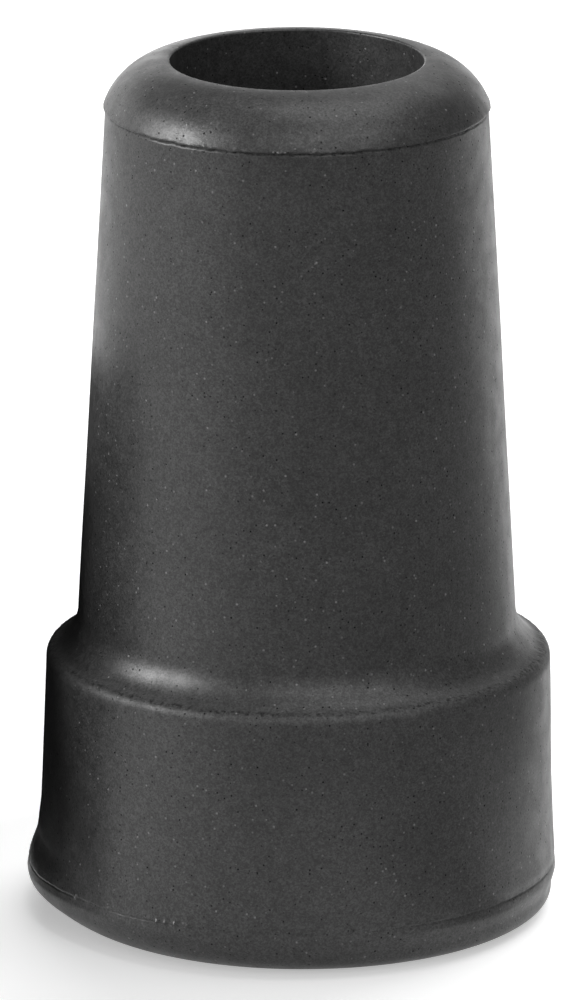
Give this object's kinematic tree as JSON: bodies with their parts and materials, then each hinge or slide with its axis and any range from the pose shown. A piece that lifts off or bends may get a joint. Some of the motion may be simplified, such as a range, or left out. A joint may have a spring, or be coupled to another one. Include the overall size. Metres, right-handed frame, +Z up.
{
  "type": "rubber cane tip",
  "caption": "Moulded dark grey rubber tip for a cane: a tapered sleeve with a rolled cap and a blind socket for the shaft, on a wider base with a ringed sole.",
  "frame": {"origin": "centre of the sole, on the plane that the tip stands on", "axes": "+Z up along the socket, out of its mouth; the body is round, so X and Y are free"},
  "size_m": [0.038, 0.038, 0.0624],
  "materials": {
    "rubber": "matte to satin moulded rubber, dark grey"
  },
  "bodies": {
    "root": {"cane_tip": "rubber"}
  },
  "joints": []
}
